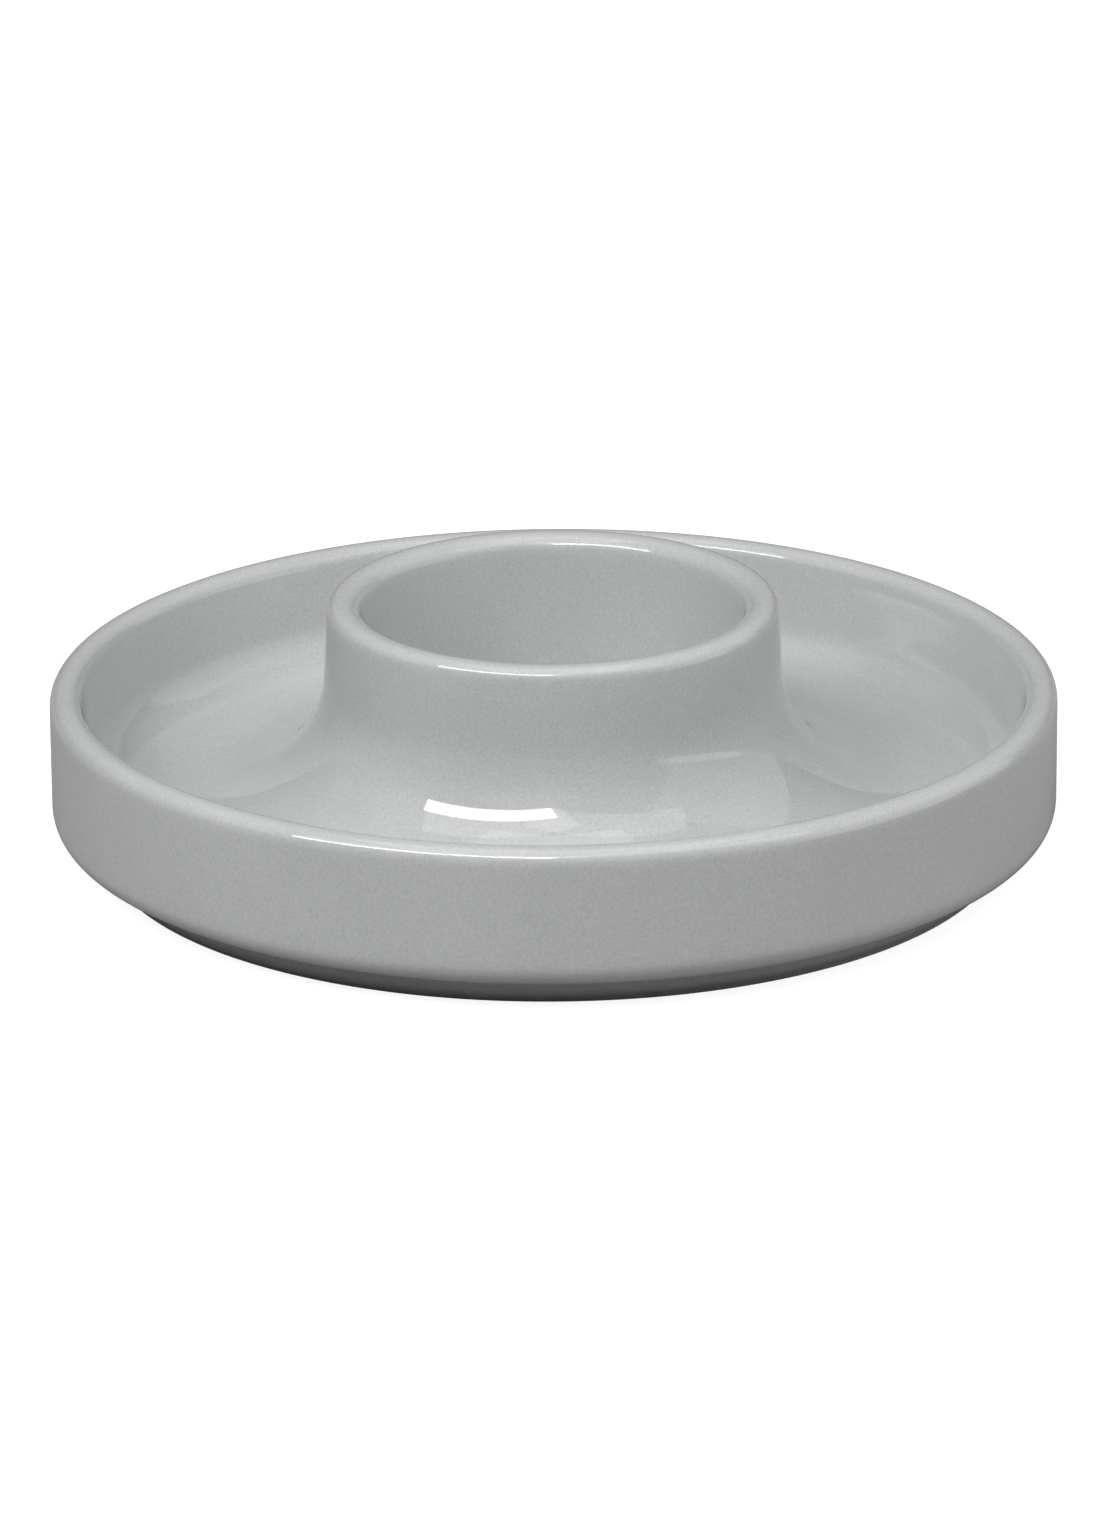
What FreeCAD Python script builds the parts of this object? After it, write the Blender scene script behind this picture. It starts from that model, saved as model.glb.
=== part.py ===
# Egg cup with tray: one round piece of fired clay, with an upright tray wall, a raised open cup in the
# middle and a low foot ring, under two coats of glaze that the bare foot ring keeps apart.
# Millimetres, +Z up, origin at the centre of the foot's resting face. Every size is of the glazed piece.
import FreeCAD, Part
import math
import os

# Overall
OVERALL_DIAMETER = 125.0
RIM_HEIGHT = 21.7           # top of the tray wall above the table
CUP_HEIGHT = 32.8           # top of the cup above the table

# Tray wall
WALL_THICKNESS = 3.7        # at the rim
WALL_OUTER_LEAN = 0.1       # how far the outside leans in, from the rim down to the heel
WALL_INNER_LEAN = 2.0       # how far the inside leans in, from the rim down to the tray floor
RIM_OUTER_ROUND = 1.9
RIM_INNER_ROUND = 1.7
HEEL_ROUND = 3.2            # bottom outside corner of the wall
HEEL_HEIGHT = 3.8           # underside of the wall above the table

# Tray floor
TRAY_FLOOR_HEIGHT = 7.6     # upper face of the floor above the table
FLOOR_THICKNESS = 4.4
FLOOR_ROUND = 6.0           # between the floor and the inside of the wall

# Cup
CUP_RIM_DIAMETER = 55.8     # outside, at the rim
CUP_WALL_THICKNESS = 3.9    # at the rim
CUP_OUTER_LEAN = 1.4        # how much wider the outside is at the tray floor than at the rim
CUP_INNER_LEAN = 2.6        # how much narrower the inside is at the bottom than at the rim
CUP_OUTER_ROUND = 1.6
CUP_INNER_ROUND = 2.1
CUP_COVE = 16.3             # hollow curve from the cup down to the tray floor
BOWL_ROUND = 8.0            # inside, from the cup's wall to its bottom

# Foot ring
FOOT_INSET = 5.8            # from the outside of the wall to the outside of the foot
FOOT_WIDTH = 4.6            # across the resting face, before its edges are rounded
FOOT_OUTER_LEAN = 0.4       # how far the foot's outer face leans in, from the heel down to the table
FOOT_INNER_LEAN = 1.6       # how far the foot's inner face leans, from the underside down to the table
FOOT_EDGE_ROUND = 0.9
FOOT_NOTCH_ROUND = 1.2      # outside, where the foot meets the underside of the wall
FOOT_COVE = 1.6             # inside, where the foot meets the underside of the floor

# Glaze
GLAZE_THICKNESS = 0.3
GLAZE_LINE_HEIGHT = 0.9     # the glaze is wiped off below this height

# Two points nearer than this are one
TOLERANCE = 1e-6


def glazed_corners():
    """Corners of the glazed outline as (radius, height, round), from the axis below to the axis above."""
    outer = OVERALL_DIAMETER / 2
    foot = outer - FOOT_INSET
    cup = CUP_RIM_DIAMETER / 2
    mouth = cup - CUP_WALL_THICKNESS
    underside = TRAY_FLOOR_HEIGHT - FLOOR_THICKNESS
    foot_toe = foot - FOOT_OUTER_LEAN
    return [
        (0, underside, 0),
        (foot_toe - FOOT_WIDTH - FOOT_INNER_LEAN, underside, FOOT_COVE),
        (foot_toe - FOOT_WIDTH, 0, FOOT_EDGE_ROUND),
        (foot_toe, 0, FOOT_EDGE_ROUND),
        (foot, HEEL_HEIGHT, FOOT_NOTCH_ROUND),
        (outer - WALL_OUTER_LEAN, HEEL_HEIGHT, HEEL_ROUND),
        (outer, RIM_HEIGHT, RIM_OUTER_ROUND),
        (outer - WALL_THICKNESS, RIM_HEIGHT, RIM_INNER_ROUND),
        (outer - WALL_THICKNESS - WALL_INNER_LEAN, TRAY_FLOOR_HEIGHT, FLOOR_ROUND),
        (cup + CUP_OUTER_LEAN, TRAY_FLOOR_HEIGHT, CUP_COVE),
        (cup, CUP_HEIGHT, CUP_OUTER_ROUND),
        (mouth, CUP_HEIGHT, CUP_INNER_ROUND),
        (mouth - CUP_INNER_LEAN, TRAY_FLOOR_HEIGHT, BOWL_ROUND),
        (0, TRAY_FLOOR_HEIGHT, 0),
    ]


def direction(start, end):
    """Unit vector in the outline's plane, from one corner to the next."""
    length = math.hypot(end[0] - start[0], end[1] - start[1])
    return (end[0] - start[0]) / length, (end[1] - start[1]) / length


def turn(before, after):
    """Angle that the outline turns at a corner: positive to the left, where the corner stands out."""
    return math.atan2(before[0] * after[1] - before[1] * after[0], before[0] * after[0] + before[1] * after[1])


def clay_corners(corners):
    """The same outline one coat of glaze further in, with the resting face left where it is."""
    lines = []
    for start, end in zip(corners, corners[1:]):
        along = direction(start, end)
        rests = start[1] == 0 and end[1] == 0
        inset = 0 if rests else GLAZE_THICKNESS
        lines.append(((start[0] - along[1] * inset, start[1] + along[0] * inset), along))
    moved = [(0, lines[0][0][1], 0)]
    for corner, before, after in zip(corners[1:-1], lines, lines[1:]):
        (point, along), (other, across) = before, after
        cross = along[0] * across[1] - along[1] * across[0]
        reach = ((other[0] - point[0]) * across[1] - (other[1] - point[1]) * across[0]) / cross
        stands_out = turn(along, across) > 0
        change = -GLAZE_THICKNESS if stands_out else GLAZE_THICKNESS
        moved.append((point[0] + along[0] * reach, point[1] + along[1] * reach, corner[2] + change))
    moved.append((0, lines[-1][0][1], 0))
    return moved


def tangent_lengths(corners):
    """How far each corner's round reaches along its two lines, scaled down where two rounds would meet."""
    courses = [direction(start, end) for start, end in zip(corners, corners[1:])]
    reach = [0.0]
    for corner, before, after in zip(corners[1:-1], courses, courses[1:]):
        reach.append(corner[2] * math.tan(abs(turn(before, after)) / 2))
    reach.append(0.0)
    for index, (start, end) in enumerate(zip(corners, corners[1:])):
        room = math.hypot(end[0] - start[0], end[1] - start[1])
        wanted = reach[index] + reach[index + 1]
        if wanted > room:
            reach[index] *= room / wanted
            reach[index + 1] *= room / wanted
    return reach


def spot(radius, height):
    """A point of the outline, which lies in the XZ plane."""
    return FreeCAD.Vector(radius, 0, height)


def straight(start, end):
    """Line between two points, or nothing where two rounds take up the whole of it."""
    return [] if start.distanceToPoint(end) < TOLERANCE else [Part.makeLine(start, end)]


def outline_face(corners):
    """Face bounded by the rounded outline and the axis."""
    reach = tangent_lengths(corners)
    edges = []
    last = spot(*corners[0][:2])
    for index in range(1, len(corners) - 1):
        radius, height = corners[index][:2]
        before = direction(corners[index - 1], corners[index])
        after = direction(corners[index], corners[index + 1])
        begin = spot(radius - before[0] * reach[index], height - before[1] * reach[index])
        end = spot(radius + after[0] * reach[index], height + after[1] * reach[index])
        half_turn = abs(turn(before, after)) / 2
        sagitta = reach[index] * (1 / math.sin(half_turn) - 1 / math.tan(half_turn))
        bisector = (after[0] - before[0], after[1] - before[1])
        size = math.hypot(*bisector)
        middle = spot(radius + bisector[0] / size * sagitta, height + bisector[1] / size * sagitta)
        edges += straight(last, begin)
        edges.append(Part.Arc(begin, middle, end).toShape())
        last = end
    top = spot(*corners[-1][:2])
    edges += straight(last, top)
    edges.append(Part.makeLine(top, spot(*corners[0][:2])))
    return Part.Face(Part.Wire(edges))


def wiped_strip():
    """Face over the part of the outline's plane where the glaze is wiped off the foot."""
    low = -GLAZE_THICKNESS
    corners = [
        spot(0, low),
        spot(OVERALL_DIAMETER, low),
        spot(OVERALL_DIAMETER, GLAZE_LINE_HEIGHT),
        spot(0, GLAZE_LINE_HEIGHT),
    ]
    return Part.Face(Part.makePolygon(corners + corners[:1]))


def turned(face):
    """Solid made by turning a face once round the axis."""
    return face.revolve(FreeCAD.Vector(0, 0, 0), FreeCAD.Vector(0, 0, 1), 360)


def build_parts():
    """Each physical piece by its node's name."""
    corners = glazed_corners()
    clay = outline_face(clay_corners(corners))
    coats = outline_face(corners).cut(clay).cut(wiped_strip()).Faces
    underside, upper = sorted(coats, key=lambda coat: coat.BoundBox.ZMax)
    return {
        "clay_body": turned(clay),
        "upper_glaze": turned(upper),
        "underside_glaze": turned(underside),
    }


os.makedirs("parts", exist_ok=True)
for name, shape in build_parts().items():
    shape.exportStep(f"parts/{name}.step")
    print(name, "valid", shape.isValid(), "volume", round(shape.Volume, 1), "faces", len(shape.Faces))
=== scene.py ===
# Egg cup with tray: a round piece of fired clay under two coats of grey glaze, on a plain studio floor.
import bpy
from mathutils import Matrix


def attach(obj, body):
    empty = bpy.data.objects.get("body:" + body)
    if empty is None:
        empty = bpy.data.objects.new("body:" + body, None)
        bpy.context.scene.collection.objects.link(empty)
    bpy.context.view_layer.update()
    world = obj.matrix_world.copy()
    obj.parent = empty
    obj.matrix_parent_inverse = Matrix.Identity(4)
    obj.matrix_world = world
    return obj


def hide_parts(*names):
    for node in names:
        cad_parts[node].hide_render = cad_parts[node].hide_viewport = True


bl_info = {
    "name": "Egg Cup with Tray",
    "version": (1, 0, 0),
    "blender": (4, 5, 0),
    "location": "View3D > Sidebar > Egg Cup",
    "description": "Builds a glazed egg cup with its tray, and a studio stage for it",
    "category": "Object",
}

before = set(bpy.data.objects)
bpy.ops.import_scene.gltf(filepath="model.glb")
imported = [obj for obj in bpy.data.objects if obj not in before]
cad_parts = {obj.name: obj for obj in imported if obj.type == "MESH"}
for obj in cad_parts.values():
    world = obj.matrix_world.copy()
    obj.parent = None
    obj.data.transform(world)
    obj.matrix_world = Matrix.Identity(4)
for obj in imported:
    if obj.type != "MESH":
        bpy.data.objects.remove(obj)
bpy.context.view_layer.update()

import math
from collections import namedtuple

import bpy
import numpy as np
from mathutils import Quaternion, Vector

MM = 0.001

SEGMENTS = 288               # around the axis
ARC_STEPS = 24               # along each round of the outline
OUTLINE_STEP = 0.05 * MM     # between the points that the outline is worked out at
SOFTENING_REACH = 4          # how far to each side a point is softened over, in times the softness
BEND_WINDOW = 21             # points that the outline's bend is averaged over
COAT_EDGE_STEPS = 4          # across the cut edge of a coat
COAT_AND_PAINTED_LIGHT_BY_BEND = 0.05    # how much lighter the glaze is where it bends by one radian in a millimetre, and darker where it bends the other way: partly the coat thinning and pooling, partly painted highlight on the rims and painted shade in the hollows
GLAZE_GRAIN = 4.4            # strength of the glaze's fine grain, in times that of its slow drift
CLAY_TOOTH = 0.06 * MM       # depth of the bare clay's grain

# How far apart two rows of the outline may be, and how far it may turn from one to the next
VISIBLE_GAP = (1.0 * MM, math.radians(5))
HIDDEN_GAP = (2.0 * MM, math.radians(15))

# The ripples: how many waves, their shortest and longest length, and how far a full swell reaches
RIPPLE_SEED = 7
RIPPLE_WAVES = 14
RIPPLE_LENGTHS = (14 * MM, 34 * MM)
RIPPLE_SWELL = 0.25
RIPPLE_START = 1.0 * MM      # height above the table where the ripples begin
RIPPLE_RISE = 2.0 * MM       # further height over which they grow to full strength
RIPPLE_CENTRE = 1.0 * MM     # distance from the axis over which they die away

CAMERA_DISTANCE = 1.5
CAMERA_ELEVATION = math.radians(19.3)
CAMERA_AIM = Vector((0, 0, 0.0109))
CAMERA_ROLL = math.radians(-0.42)
CAMERA_LENS = 284.3          # millimetres, for the sensor below
CAMERA_SENSOR = 36.0
CAMERA_CLIP = (0.01, 50.0)

LAMP_AIM = Vector((0, 0, 0.015))
AIR_LEVEL = 0.06             # even light from everywhere, as a share of white

FLOOR_SIDES = 96
FLOOR_RADII = (0.2, 0.6, 2.0, 8.0)
FLOOR_SEEN = 0.32            # the floor's grey where the camera sees it
FLOOR_GLOW = 0.9             # what brings that grey up to white
FLOOR_UNSEEN = 0.3           # the floor's grey as it lights the object and mirrors in the glaze


def length(name, millimetres, description):
    """Property for one length, given in millimetres and kept in metres."""
    return bpy.props.FloatProperty(
        name=name, description=description, default=millimetres * MM, min=0.0,
        precision=5, subtype="DISTANCE", unit="LENGTH",
    )


def colour(name, rgb, description):
    """Property for one colour."""
    return bpy.props.FloatVectorProperty(
        name=name, description=description, default=rgb, size=3, min=0.0, max=1.0, subtype="COLOR",
    )


def amount(name, value, description):
    """Property for a plain amount."""
    return bpy.props.FloatProperty(name=name, description=description, default=value, min=0.0, max=1.0)


class OutlineSizes(bpy.types.PropertyGroup):
    """Sizes of the outline that is turned round the axis, all of the glazed piece."""

    overall_diameter: length("Overall diameter", 125.0, "Across the tray's outer wall")
    rim_height: length("Rim height", 21.7, "Top of the tray wall above the table")
    cup_height: length("Cup height", 32.8, "Top of the cup above the table")
    wall_thickness: length("Wall thickness", 3.7, "Tray wall at the rim")
    wall_outer_lean: length("Wall outer lean", 0.1, "How far the outside leans in, from rim to heel")
    wall_inner_lean: length("Wall inner lean", 2.0, "How far the inside leans in, from rim to floor")
    rim_outer_round: length("Rim outer round", 1.9, "Outer edge of the tray's rim")
    rim_inner_round: length("Rim inner round", 1.7, "Inner edge of the tray's rim")
    heel_round: length("Heel round", 3.2, "Bottom outside corner of the wall")
    heel_height: length("Heel height", 3.8, "Underside of the wall above the table")
    tray_floor_height: length("Tray floor height", 7.6, "Upper face of the tray's floor")
    cup_floor_height: length("Cup floor height", 7.6, "Bottom of the cup's inside")
    underside_height: length("Underside height", 3.2, "Recessed underside, inside the foot")
    floor_round: length("Floor round", 6.0, "Between the floor and the inside of the wall")
    cup_rim_diameter: length("Cup rim diameter", 55.8, "Outside of the cup at its rim")
    cup_wall_thickness: length("Cup wall thickness", 3.9, "Cup wall at the rim")
    cup_outer_lean: length("Cup outer lean", 1.4, "How much wider the cup is at the tray floor")
    cup_inner_lean: length("Cup inner lean", 2.6, "How much narrower the inside is at its bottom")
    cup_outer_round: length("Cup outer round", 1.6, "Outer edge of the cup's rim")
    cup_inner_round: length("Cup inner round", 2.1, "Inner edge of the cup's rim")
    cup_cove: length("Cup cove", 16.3, "Hollow curve from the cup down to the tray")
    bowl_round: length("Bowl round", 8.0, "Inside, from the cup's wall to its bottom")
    foot_inset: length("Foot inset", 5.8, "From the outside of the wall to the foot")
    foot_width: length("Foot width", 4.6, "Across the resting face")
    foot_outer_lean: length("Foot outer lean", 0.4, "How far the foot's outer face leans in")
    foot_inner_lean: length("Foot inner lean", 1.6, "How far the foot's inner face leans")
    foot_edge_round: length("Foot edge round", 0.9, "Edges of the resting face")
    foot_notch_round: length("Foot notch round", 1.2, "Outside, where foot and wall meet")
    foot_cove: length("Foot cove", 1.6, "Inside, where foot and floor meet")
    glaze_thickness: length("Glaze thickness", 0.3, "Thickness of each coat")
    glaze_line: length("Glaze line", 0.9, "Height below which the glaze is wiped off")
    softness: length("Softness", 0.3, "How far the kiln softens the edges of each round")
    ripple: length("Ripple", 0.005, "Deepest hollow that the hand-poured coat leaves")


class FinishColours(bpy.types.PropertyGroup):
    """Colours and strengths of the finishes."""

    glaze: colour("Glaze", (0.43, 0.44, 0.435), "Grey glaze")
    clay: colour("Clay", (0.36, 0.35, 0.33), "Bare fired clay")
    mottle: amount("Mottle", 0.10, "How strongly the glaze's tone varies")


OPERATORS = []


def listed(operator):
    """Adds an operator to the panel and to the order of making."""
    OPERATORS.append(operator)
    return operator


# ---------------------------------------------------------------- outline

def glazed_corners(size):
    """Corners of the glazed outline as (radius, height, round), from the axis below to the axis above."""
    outer = size.overall_diameter / 2
    foot = outer - size.foot_inset
    toe = foot - size.foot_outer_lean
    cup = size.cup_rim_diameter / 2
    mouth = cup - size.cup_wall_thickness
    wall = outer - size.wall_thickness
    return [
        (0, size.underside_height, 0),
        (toe - size.foot_width - size.foot_inner_lean, size.underside_height, size.foot_cove),
        (toe - size.foot_width, 0, size.foot_edge_round),
        (toe, 0, size.foot_edge_round),
        (foot, size.heel_height, size.foot_notch_round),
        (outer - size.wall_outer_lean, size.heel_height, size.heel_round),
        (outer, size.rim_height, size.rim_outer_round),
        (wall, size.rim_height, size.rim_inner_round),
        (wall - size.wall_inner_lean, size.tray_floor_height, size.floor_round),
        (cup + size.cup_outer_lean, size.tray_floor_height, size.cup_cove),
        (cup, size.cup_height, size.cup_outer_round),
        (mouth, size.cup_height, size.cup_inner_round),
        (mouth - size.cup_inner_lean, size.cup_floor_height, size.bowl_round),
        (0, size.cup_floor_height, 0),
    ]


def rounded(corners):
    """Points of the outline, with an arc in place of each corner."""
    points = [np.array(corners[0][:2])]
    for before, corner, after in zip(corners, corners[1:], corners[2:]):
        here = np.array(corner[:2])
        coming = here - np.array(before[:2])
        going = np.array(after[:2]) - here
        coming = coming / np.linalg.norm(coming)
        going = going / np.linalg.norm(going)
        turn = math.atan2(coming[0] * going[1] - coming[1] * going[0], float(coming @ going))
        begin = here - coming * corner[2] * math.tan(abs(turn) / 2)
        side = math.copysign(1.0, turn)
        centre = begin + np.array([-coming[1], coming[0]]) * side * corner[2]
        for step in range(ARC_STEPS + 1):
            angle = turn * step / ARC_STEPS
            spoke = begin - centre
            points.append(centre + np.array([
                spoke[0] * math.cos(angle) - spoke[1] * math.sin(angle),
                spoke[0] * math.sin(angle) + spoke[1] * math.cos(angle),
            ]))
    points.append(np.array(corners[-1][:2]))
    return np.array(points)


def evenly(points, spacing):
    """The same line with points at an even spacing."""
    travelled = np.concatenate([[0], np.cumsum(np.linalg.norm(np.diff(points, axis=0), axis=1))])
    count = max(2, int(round(travelled[-1] / spacing)) + 1)
    places = np.linspace(0, travelled[-1], count)
    return np.column_stack([np.interp(places, travelled, points[:, axis]) for axis in (0, 1)])


def softened(points, spacing, softness):
    """The line with its changes of curve eased over the softness, which keeps it level on the axis."""
    reach = int(math.ceil(SOFTENING_REACH * softness / spacing))
    mirror = np.array([-1.0, 1.0])
    padded = np.concatenate([points[reach:0:-1] * mirror, points, points[-2:-reach - 2:-1] * mirror])
    kernel = np.exp(-0.5 * (np.arange(-reach, reach + 1) * spacing / softness) ** 2)
    kernel /= kernel.sum()
    return np.column_stack([np.convolve(padded[:, axis], kernel, "valid") for axis in (0, 1)])


def thinned(points, longest, sharpest):
    """Indices of the points to keep: none further apart than longest, none turning more than sharpest."""
    course = np.diff(points, axis=0)
    heading = np.unwrap(np.arctan2(course[:, 1], course[:, 0]))
    kept = [0]
    for index in range(1, len(points) - 1):
        apart = np.linalg.norm(points[index] - points[kept[-1]])
        bent = abs(heading[index] - heading[min(kept[-1], len(heading) - 1)])
        if apart >= longest or bent >= sharpest:
            kept.append(index)
    kept.append(len(points) - 1)
    return kept


def outline(size):
    """Rows of (radius, height, outward radius, outward height, bend) along the glazed outline."""
    line = evenly(rounded(glazed_corners(size)), OUTLINE_STEP)
    line = softened(line, OUTLINE_STEP, size.softness)
    line[:, 1] -= min(0.0, line[:, 1].min())
    line[0, 0] = line[-1, 0] = 0.0
    course = np.gradient(line, axis=0)
    course /= np.linalg.norm(course, axis=1)[:, None]
    outward = np.column_stack([course[:, 1], -course[:, 0]])
    heading = np.unwrap(np.arctan2(course[:, 1], course[:, 0]))
    bend = np.gradient(heading) / OUTLINE_STEP * MM
    window = np.ones(BEND_WINDOW) / BEND_WINDOW
    bend = np.convolve(np.pad(bend, BEND_WINDOW // 2, mode="edge"), window, "valid")
    return np.column_stack([line, outward, bend])


def inset(rows, size):
    """The outline one coat further in, with the resting face left where it is."""
    moved = rows.copy()
    shift = -rows[:, 2:4] * size.glaze_thickness
    shift[:, 1] *= np.clip(rows[:, 1] / size.glaze_line, 0.0, 1.0)
    moved[:, 0:2] += shift
    moved[0, 0] = moved[-1, 0] = 0.0
    return moved


# ---------------------------------------------------------------- turning

def ripple_field(places, size):
    """Depth of the coat's slow ripples at each place, never above the outline."""
    chance = np.random.default_rng(RIPPLE_SEED)
    total = np.zeros(len(places))
    for _ in range(RIPPLE_WAVES):
        way = chance.normal(size=3)
        way /= np.linalg.norm(way)
        wavelength = chance.uniform(*RIPPLE_LENGTHS)
        total += np.sin(places @ way * (2 * math.pi / wavelength) + chance.uniform(0, 2 * math.pi))
    total /= math.sqrt(RIPPLE_WAVES / 2)
    return -size.ripple * np.clip(0.5 + RIPPLE_SWELL * total, 0.0, 1.0)


def rippled(places, normals, size):
    """The places moved in by the ripples, which die away at the axis and near the table."""
    hold = np.clip((places[:, 2] - RIPPLE_START) / RIPPLE_RISE, 0.0, 1.0)
    fade = np.clip(np.hypot(places[:, 0], places[:, 1]) / RIPPLE_CENTRE, 0.0, 1.0)
    return places + normals * (ripple_field(places, size) * hold * fade)[:, None]


def swept(across, along, around):
    """Each ring's value across the axis and along it, carried round the axis."""
    flat = (across[:, None, None] * around[None]).reshape(-1, 2)
    return np.column_stack([flat, np.repeat(along, SEGMENTS)])


def ring_faces(rings, bottom, top):
    """Faces that join each ring to the next, and the first and last ring to their points on the axis."""
    column = range(SEGMENTS)
    beside = [*column[1:], 0]
    faces = [(bottom, b, a) for a, b in zip(column, beside)]
    for ring in range(rings - 1):
        low, high = ring * SEGMENTS, (ring + 1) * SEGMENTS
        faces += [(low + a, low + b, high + b, high + a) for a, b in zip(column, beside)]
    base = (rings - 1) * SEGMENTS
    return faces + [(base + a, base + b, top) for a, b in zip(column, beside)]


def turned(name, rows, size, material):
    """Closed smooth mesh made by turning rows, which start and end on the axis, round it."""
    rings = rows[1:-1]
    angle = np.arange(SEGMENTS) * (2 * math.pi / SEGMENTS)
    around = np.column_stack([np.cos(angle), np.sin(angle)])
    places = swept(rings[:, 0], rings[:, 1], around)
    normals = swept(rings[:, 2], rings[:, 3], around)
    places = rippled(places, normals, size)
    first = (0.0, 0.0, rows[0, 1])
    last = (0.0, 0.0, rows[-1, 1])
    vertices = np.vstack([places, first, last])
    mesh = bpy.data.meshes.new(name)
    mesh.from_pydata(vertices.tolist(), [], ring_faces(len(rings), len(places), len(places) + 1))
    mesh.shade_smooth()
    bends = np.concatenate([np.repeat(rings[:, 4], SEGMENTS), [0.0, 0.0]])
    mesh.attributes.new("bend", "FLOAT", "POINT").data.foreach_set("value", bends.astype(np.float32))
    mesh.materials.append(material)
    piece = bpy.data.objects.new(name, mesh)
    bpy.context.scene.collection.objects.link(piece)
    return piece


def seated(piece, node):
    """Puts a piece in the place of its CAD node."""
    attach(piece, "root")
    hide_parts(node)


def visible_rows(rows):
    """Rows fine enough for a face that shows."""
    return rows[thinned(rows[:, :2], *VISIBLE_GAP)]


def hidden_rows(rows):
    """Coarser rows, for the clay and for the face of a coat that lies on it."""
    return rows[thinned(rows[:, :2], *HIDDEN_GAP)]


def line_crossings(rows, size):
    """Where the outline passes the glaze line: on the foot's inside and on its outside."""
    below = np.nonzero(rows[:, 1] < size.glaze_line)[0]
    return below[0], below[-1]


def coat_edge(begin, end):
    """Rows across the cut edge of a coat, between its last row on one face and its first on the other."""
    shares = np.arange(1, COAT_EDGE_STEPS)[:, None] / COAT_EDGE_STEPS
    return begin * (1 - shares) + end * shares


# ---------------------------------------------------------------- finishes

class Nodes:
    """Short way to place and join shader nodes in one tree."""

    def __init__(self, tree):
        self.tree = tree

    def add(self, kind, **values):
        """New node with the given settings."""
        node = self.tree.nodes.new(kind)
        for key, value in values.items():
            setattr(node, key, value)
        return node

    def join(self, source, target):
        """Link from an output to an input."""
        self.tree.links.new(source, target)

    def math(self, operation, first, second):
        """Result of an operation on two values, each a number or another node's output."""
        node = self.add("ShaderNodeMath", operation=operation)
        for socket, value in zip(node.inputs, (first, second)):
            if isinstance(value, (int, float)):
                socket.default_value = value
            else:
                self.join(value, socket)
        return node.outputs[0]


def group_tree(name, inputs, outputs):
    """Empty shader node group with named sockets: (group, its input node, its output node)."""
    tree = bpy.data.node_groups.new(name, "ShaderNodeTree")
    for label, kind, value in inputs:
        socket = tree.interface.new_socket(name=label, in_out="INPUT", socket_type=kind)
        if value is not None:
            socket.default_value = value
    for label, kind in outputs:
        tree.interface.new_socket(name=label, in_out="OUTPUT", socket_type=kind)
    return tree, tree.nodes.new("NodeGroupInput"), tree.nodes.new("NodeGroupOutput")


def kiln_mottle():
    """Fine grain and slow drift of tone: Tone is 1 on average, Height rises and falls with the grain."""
    found = bpy.data.node_groups.get("Kiln Mottle")
    if found:
        return found
    tree, start, end = group_tree(
        "Kiln Mottle",
        [("Vector", "NodeSocketVector", None), ("Grain Scale", "NodeSocketFloat", 3000.0),
         ("Grain Strength", "NodeSocketFloat", 0.1), ("Drift Scale", "NodeSocketFloat", 60.0),
         ("Drift Strength", "NodeSocketFloat", 0.05)],
        [("Tone", "NodeSocketFloat"), ("Height", "NodeSocketFloat")],
    )
    nodes = Nodes(tree)
    grain = nodes.add("ShaderNodeTexNoise", noise_dimensions="3D")
    grain.inputs["Detail"].default_value = 2.0
    grain.inputs["Roughness"].default_value = 0.6
    nodes.join(start.outputs["Vector"], grain.inputs["Vector"])
    nodes.join(start.outputs["Grain Scale"], grain.inputs["Scale"])
    drift = nodes.add("ShaderNodeTexNoise", noise_dimensions="3D")
    drift.inputs["Detail"].default_value = 3.0
    nodes.join(start.outputs["Vector"], drift.inputs["Vector"])
    nodes.join(start.outputs["Drift Scale"], drift.inputs["Scale"])
    fine = nodes.math("SUBTRACT", grain.outputs["Fac"], 0.5)
    fine = nodes.math("MULTIPLY", fine, start.outputs["Grain Strength"])
    slow = nodes.math("SUBTRACT", drift.outputs["Fac"], 0.5)
    slow = nodes.math("MULTIPLY", slow, start.outputs["Drift Strength"])
    tone = nodes.math("ADD", nodes.math("ADD", fine, slow), 1.0)
    nodes.join(tone, end.inputs["Tone"])
    nodes.join(grain.outputs["Fac"], end.inputs["Height"])
    return tree


def toned(nodes, rgb, tone):
    """Colour multiplied by a tone that varies over the surface."""
    mix = nodes.add("ShaderNodeVectorMath", operation="SCALE")
    mix.inputs[0].default_value = rgb
    nodes.join(tone, mix.inputs["Scale"])
    return mix.outputs[0]


def place_mottle(nodes, **values):
    """The mottle group in a material, with its own values."""
    where = nodes.add("ShaderNodeTexCoord")
    mottle = nodes.add("ShaderNodeGroup", node_tree=kiln_mottle())
    nodes.join(where.outputs["Object"], mottle.inputs["Vector"])
    for label, value in values.items():
        mottle.inputs[label.replace("_", " ")].default_value = value
    return mottle


def new_material(name):
    """Empty material: (material, its nodes, its Principled shader)."""
    material = bpy.data.materials.new(name)
    material.use_nodes = True
    nodes = Nodes(material.node_tree)
    shader = next(node for node in material.node_tree.nodes if node.type == "BSDF_PRINCIPLED")
    return material, nodes, shader


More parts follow.
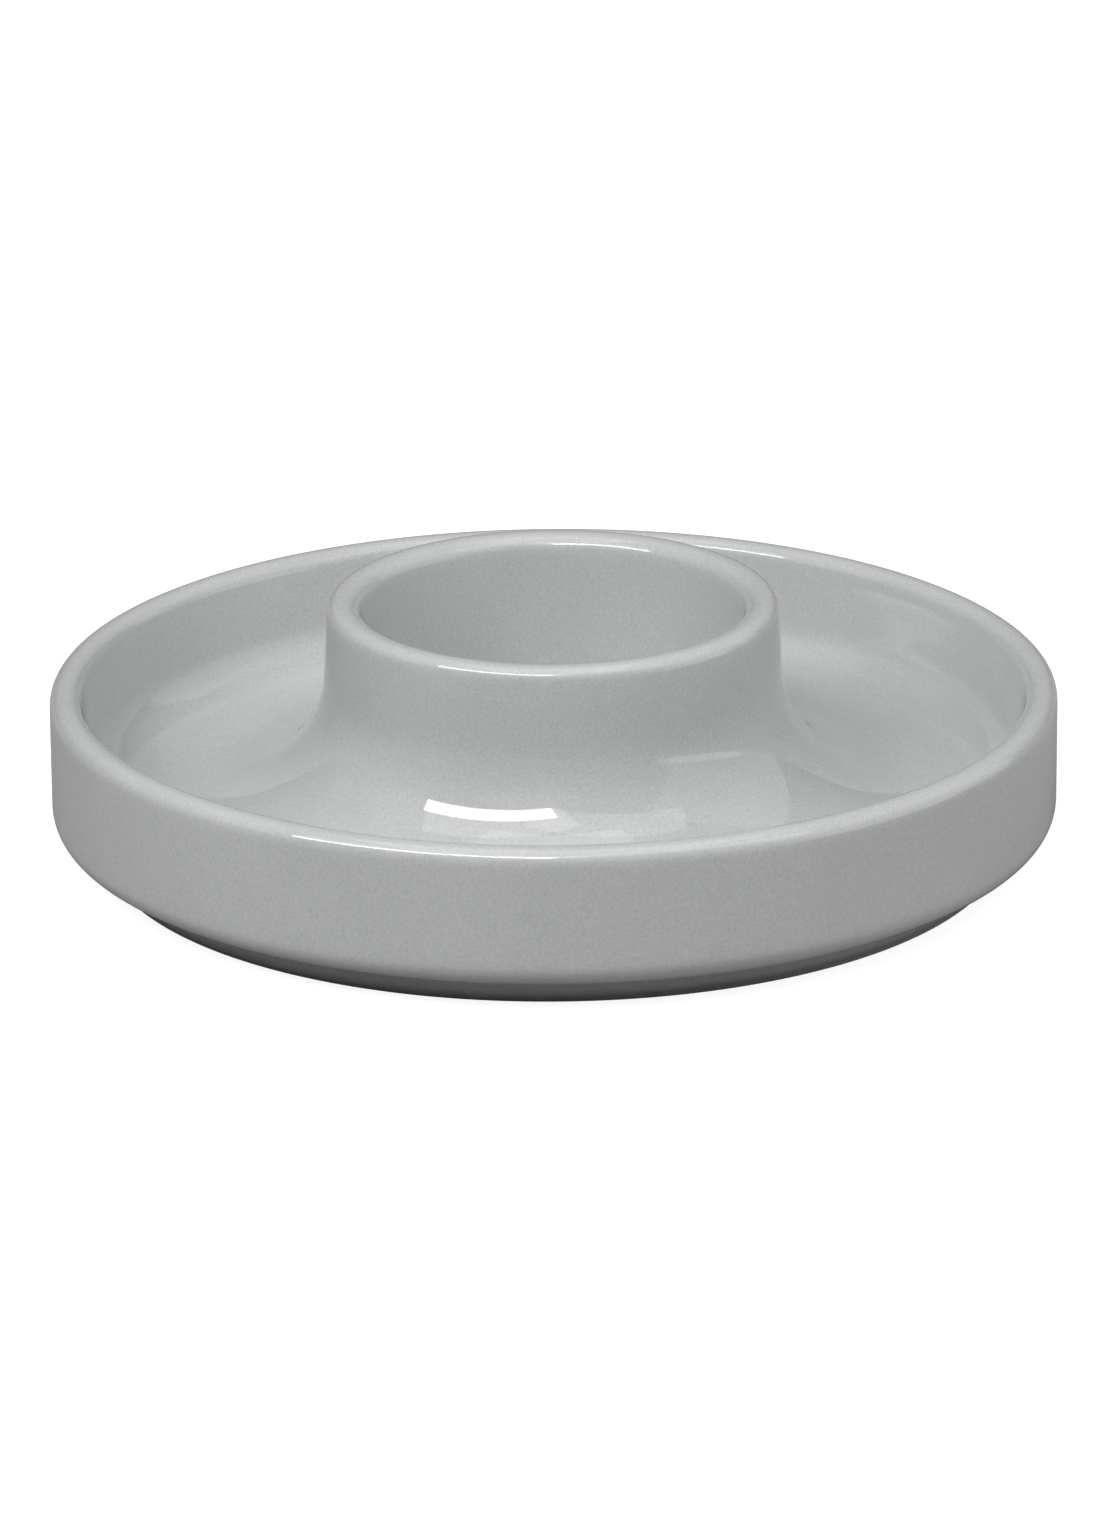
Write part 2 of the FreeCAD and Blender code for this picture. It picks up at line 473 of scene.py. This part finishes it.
def glaze_finish(name, rgb, mottle_amount):
    """Glossy grey glaze, a little lighter over the rims and darker in the hollows: partly the coat thinning
    and pooling, partly painted highlight and painted shade.
    """
    material, nodes, shader = new_material(name)
    mottle = place_mottle(
        nodes, Grain_Scale=3200.0, Grain_Strength=mottle_amount * GLAZE_GRAIN,
        Drift_Scale=70.0, Drift_Strength=mottle_amount,
    )
    bend = nodes.add("ShaderNodeAttribute", attribute_name="bend")
    # Painted light in part: the bend makes the rims lighter and the hollows darker, besides showing where the
    # coat thins and pools.
    coat_and_painted_light = nodes.math("MULTIPLY", bend.outputs["Fac"], COAT_AND_PAINTED_LIGHT_BY_BEND)
    tone = nodes.math("ADD", mottle.outputs["Tone"], coat_and_painted_light)
    nodes.join(toned(nodes, rgb, tone), shader.inputs["Base Color"])
    shader.inputs["Roughness"].default_value = 0.04
    shader.inputs["IOR"].default_value = 1.5
    return material


def clay_finish(name, rgb):
    """Matt bare clay."""
    material, nodes, shader = new_material(name)
    mottle = place_mottle(
        nodes, Grain_Scale=2200.0, Grain_Strength=0.5, Drift_Scale=120.0, Drift_Strength=0.2,
    )
    nodes.join(toned(nodes, rgb, mottle.outputs["Tone"]), shader.inputs["Base Color"])
    bump = nodes.add("ShaderNodeBump")
    bump.inputs["Strength"].default_value = 0.4
    bump.inputs["Distance"].default_value = CLAY_TOOTH
    nodes.join(mottle.outputs["Height"], bump.inputs["Height"])
    nodes.join(bump.outputs["Normal"], shader.inputs["Normal"])
    shader.inputs["Roughness"].default_value = 0.8
    return material


# ---------------------------------------------------------------- pieces

@listed
class EGGCUP_OT_clay_body(bpy.types.Operator):
    """Turn the clay body"""

    bl_idname = "eggcup.clay_body"
    bl_label = "Clay Body"

    def execute(self, context):
        size = context.scene.egg_cup_sizes
        finish = context.scene.egg_cup_colours
        rows = hidden_rows(inset(outline(size), size))
        clay = clay_finish("Bare_Clay", finish.clay)
        piece = turned("Clay_Body", rows, size, clay)
        seated(piece, "clay_body")
        return {"FINISHED"}


@listed
class EGGCUP_OT_upper_glaze(bpy.types.Operator):
    """Pour the coat over the cup, tray and foot"""

    bl_idname = "eggcup.upper_glaze"
    bl_label = "Upper Glaze"

    def execute(self, context):
        size = context.scene.egg_cup_sizes
        finish = context.scene.egg_cup_colours
        rows = outline(size)
        _, start = line_crossings(rows, size)
        bed = inset(rows, size)[start:]
        skin = rows[start:]
        inner = hidden_rows(bed)[::-1]
        loop = np.vstack([inner, coat_edge(inner[-1], skin[0]), visible_rows(skin)])
        glaze = glaze_finish("Grey_Glaze", finish.glaze, finish.mottle)
        piece = turned("Upper_Glaze", loop, size, glaze)
        seated(piece, "upper_glaze")
        return {"FINISHED"}


@listed
class EGGCUP_OT_underside_glaze(bpy.types.Operator):
    """Pour the coat on the recessed underside"""

    bl_idname = "eggcup.underside_glaze"
    bl_label = "Underside Glaze"

    def execute(self, context):
        size = context.scene.egg_cup_sizes
        finish = context.scene.egg_cup_colours
        rows = outline(size)
        stop, _ = line_crossings(rows, size)
        bed = inset(rows, size)[:stop + 1]
        skin = visible_rows(rows[:stop + 1])
        inner = hidden_rows(bed)[::-1]
        loop = np.vstack([skin, coat_edge(skin[-1], inner[0]), inner])
        glaze = glaze_finish("Grey_Glaze_Underside", finish.glaze, finish.mottle)
        piece = turned("Underside_Glaze", loop, size, glaze)
        seated(piece, "underside_glaze")
        return {"FINISHED"}


# ---------------------------------------------------------------- stage

Lamp = namedtuple("Lamp", "name left height distance width depth radiance turn shows", defaults=(0.0, True))

# Left and height are degrees from the camera's side and above the table, distance is in metres, and width and
# depth are shares of the distance. A lamp that doesn't show lights the glaze and isn't mirrored in it.
LAMPS = (
    Lamp("Key_Softbox", 35.0, 44.5, 1.1, width=0.94, depth=0.165, radiance=13.5, turn=8.5),
    Lamp("Ceiling_Left", 32.0, 54.0, 1.2, width=1.0, depth=0.34, radiance=2.0),
    Lamp("Ceiling_Right", -32.0, 54.0, 1.2, width=1.0, depth=0.34, radiance=1.5),
    Lamp("Ceiling_Far_Right", -82.0, 54.0, 1.2, width=0.6, depth=0.4, radiance=1.0, shows=False),
    Lamp("Right_Core", -88.0, 28.0, 1.2, width=0.7, depth=0.6, radiance=1.0, shows=False),
    Lamp("Right_Wide", -90.0, 25.0, 1.3, width=1.3, depth=0.9, radiance=0.7),
    Lamp("Right_Skirt", -75.0, 4.5, 1.2, width=0.9, depth=0.14, radiance=1.2),
    Lamp("Front_Centre", 10.0, 33.0, 1.8, width=0.75, depth=0.22, radiance=0.4),
    Lamp("Top", 0.0, 84.0, 1.3, width=0.8, depth=0.8, radiance=1.6),
    Lamp("Top_Left", 100.0, 62.0, 1.3, width=0.7, depth=0.5, radiance=0.3),
    Lamp("Left_Low", 100.0, 18.0, 1.3, width=0.7, depth=0.5, radiance=0.2),
    Lamp("Left_High", 80.0, 36.0, 1.3, width=0.5, depth=0.4, radiance=0.45),
    Lamp("Backdrop", 180.0, 9.98, 1.3, width=2.8, depth=0.334, radiance=0.55, shows=False),
)


def softbox(lamp):
    """Soft rectangular lamp that faces the object, with an even brightness over its face."""
    light = bpy.data.lights.new(lamp.name, "AREA")
    light.shape = "RECTANGLE"
    light.size = lamp.width * lamp.distance
    light.size_y = lamp.depth * lamp.distance
    light.energy = lamp.radiance * math.pi * light.size * light.size_y
    holder = bpy.data.objects.new(lamp.name, light)
    bpy.context.scene.collection.objects.link(holder)
    side, rise = math.radians(lamp.left), math.radians(lamp.height)
    way = Vector((-math.sin(side) * math.cos(rise), -math.cos(side) * math.cos(rise), math.sin(rise)))
    holder.location = lamp.distance * way
    facing = (LAMP_AIM - holder.location).to_track_quat("-Z", "Y")
    holder.rotation_mode = "QUATERNION"
    holder.rotation_quaternion = facing @ Quaternion((0, 0, 1), math.radians(lamp.turn))
    holder.visible_camera = False
    holder.visible_glossy = lamp.shows


def grey_diffuse(nodes, level):
    """Matt grey shader."""
    shader = nodes.add("ShaderNodeBsdfDiffuse")
    shader.inputs["Color"].default_value = (level, level, level, 1)
    return shader


def by_camera(nodes, elsewhere, seen):
    """One shader where the camera looks straight at it, and another for all other light."""
    path = nodes.add("ShaderNodeLightPath")
    mix = nodes.add("ShaderNodeMixShader")
    nodes.join(path.outputs["Is Camera Ray"], mix.inputs["Fac"])
    nodes.join(elsewhere.outputs[0], mix.inputs[1])
    nodes.join(seen.outputs[0], mix.inputs[2])
    return mix.outputs[0]


def floor_finish():
    """White to the camera, and grey to the object."""
    material = bpy.data.materials.new("Studio_Floor")
    material.use_nodes = True
    material.node_tree.nodes.clear()
    nodes = Nodes(material.node_tree)
    glow = nodes.add("ShaderNodeEmission")
    glow.inputs["Strength"].default_value = FLOOR_GLOW
    white = nodes.add("ShaderNodeAddShader")
    nodes.join(grey_diffuse(nodes, FLOOR_SEEN).outputs[0], white.inputs[0])
    nodes.join(glow.outputs[0], white.inputs[1])
    out = nodes.add("ShaderNodeOutputMaterial")
    nodes.join(by_camera(nodes, grey_diffuse(nodes, FLOOR_UNSEEN), white), out.inputs["Surface"])
    return material


def stage_floor():
    """Wide round floor."""
    angle = np.arange(FLOOR_SIDES) * (2 * math.pi / FLOOR_SIDES)
    vertices = [(0.0, 0.0, 0.0)]
    for radius in FLOOR_RADII:
        vertices += [(radius * math.cos(a), radius * math.sin(a), 0.0) for a in angle]
    beside = [*range(1, FLOOR_SIDES), 0]
    faces = [(0, 1 + i, 1 + beside[i]) for i in range(FLOOR_SIDES)]
    for ring in range(len(FLOOR_RADII) - 1):
        low, high = 1 + ring * FLOOR_SIDES, 1 + (ring + 1) * FLOOR_SIDES
        faces += [(low + i, high + i, high + beside[i], low + beside[i]) for i in range(FLOOR_SIDES)]
    mesh = bpy.data.meshes.new("Floor")
    mesh.from_pydata(vertices, [], faces)
    mesh.materials.append(floor_finish())
    floor = bpy.data.objects.new("Floor", mesh)
    bpy.context.scene.collection.objects.link(floor)


def air(nodes, level):
    """Even white light of one level."""
    shader = nodes.add("ShaderNodeBackground")
    shader.inputs["Strength"].default_value = level
    return shader


def studio_air():
    """White behind the object, and a dim even light from everywhere else."""
    world = bpy.data.worlds.new("Studio")
    world.use_nodes = True
    world.node_tree.nodes.clear()
    nodes = Nodes(world.node_tree)
    out = nodes.add("ShaderNodeOutputWorld")
    nodes.join(by_camera(nodes, air(nodes, AIR_LEVEL), air(nodes, 1.0)), out.inputs["Surface"])
    bpy.context.scene.world = world


def studio_camera():
    """Long lens that looks a little down on the rim."""
    view = bpy.data.cameras.new("Camera")
    view.sensor_width = CAMERA_SENSOR
    view.lens = CAMERA_LENS
    view.clip_start, view.clip_end = CAMERA_CLIP
    camera = bpy.data.objects.new("Camera", view)
    bpy.context.scene.collection.objects.link(camera)
    back = Vector((0, -math.cos(CAMERA_ELEVATION), math.sin(CAMERA_ELEVATION)))
    camera.location = CAMERA_AIM + back * CAMERA_DISTANCE
    camera.rotation_mode = "QUATERNION"
    camera.rotation_quaternion = (-back).to_track_quat("-Z", "Y") @ Quaternion((0, 0, 1), CAMERA_ROLL)
    bpy.context.scene.camera = camera


@listed
class EGGCUP_OT_stage(bpy.types.Operator):
    """Set up the floor, lamps and camera"""

    bl_idname = "eggcup.stage"
    bl_label = "Studio Stage"

    def execute(self, context):
        stage_floor()
        studio_air()
        for lamp in LAMPS:
            softbox(lamp)
        studio_camera()
        context.scene.view_settings.view_transform = "Standard"
        return {"FINISHED"}


class EGGCUP_PT_panel(bpy.types.Panel):
    """Lists what the add-on makes"""

    bl_idname = "EGGCUP_PT_panel"
    bl_label = "Egg Cup with Tray"
    bl_space_type = "VIEW_3D"
    bl_region_type = "UI"
    bl_category = "Egg Cup"

    def draw(self, context):
        for operator in OPERATORS:
            self.layout.operator(operator.bl_idname)
        for group in (context.scene.egg_cup_sizes, context.scene.egg_cup_colours):
            column = self.layout.column(align=True)
            for name in type(group).__annotations__:
                column.prop(group, name)


def register():
    for group in (OutlineSizes, FinishColours):
        bpy.utils.register_class(group)
    bpy.types.Scene.egg_cup_sizes = bpy.props.PointerProperty(type=OutlineSizes)
    bpy.types.Scene.egg_cup_colours = bpy.props.PointerProperty(type=FinishColours)
    for operator in OPERATORS:
        bpy.utils.register_class(operator)
    bpy.utils.register_class(EGGCUP_PT_panel)


def unregister():
    bpy.utils.unregister_class(EGGCUP_PT_panel)
    for operator in reversed(OPERATORS):
        bpy.utils.unregister_class(operator)
    del bpy.types.Scene.egg_cup_colours
    del bpy.types.Scene.egg_cup_sizes
    for group in (FinishColours, OutlineSizes):
        bpy.utils.unregister_class(group)


def main():
    register()
    for operator in OPERATORS:
        group, name = operator.bl_idname.split(".")
        getattr(getattr(bpy.ops, group), name)()


if __name__ == "__main__":
    main()
